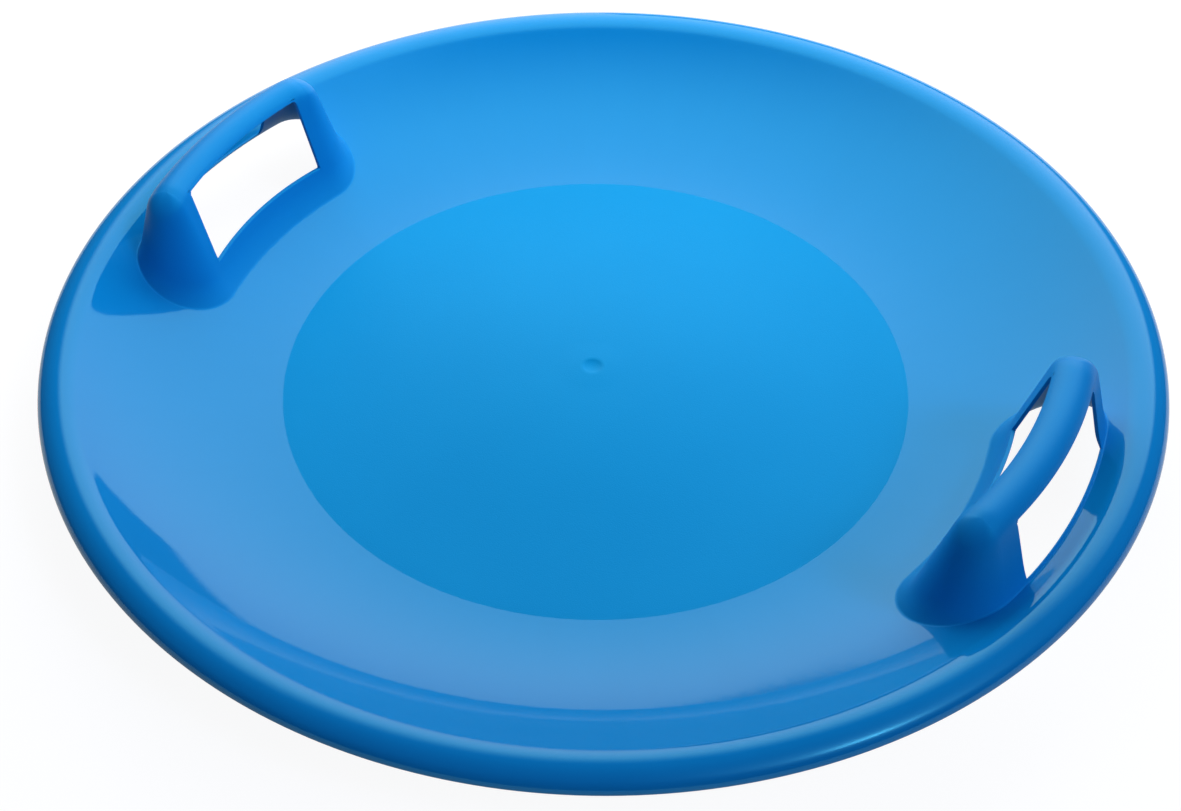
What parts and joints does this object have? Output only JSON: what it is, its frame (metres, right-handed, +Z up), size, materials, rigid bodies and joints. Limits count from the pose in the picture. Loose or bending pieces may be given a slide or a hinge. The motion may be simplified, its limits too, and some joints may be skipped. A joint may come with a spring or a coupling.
{
  "type": "snow slider",
  "caption": "Round saucer sled with a raised grained seat, a glossy bowl, a rolled rim and hollow tapered hand grips with finger windows on opposite sides.",
  "frame": {"origin": "on the floor, under the middle of the seat", "axes": "+Z up, +X from the left grip to the right grip, -Y towards the front"},
  "size_m": [0.6, 0.6, 0.081],
  "materials": {
    "gloss_blue": "polished moulding, glossy",
    "grained_blue": "fine matte grain",
    "grip_blue": "fine grain, satin"
  },
  "bodies": {
    "root": {"seat": "grained_blue", "bowl": "gloss_blue", "rim": "gloss_blue", "left_grip": "grip_blue", "right_grip": "grip_blue"}
  },
  "joints": []
}
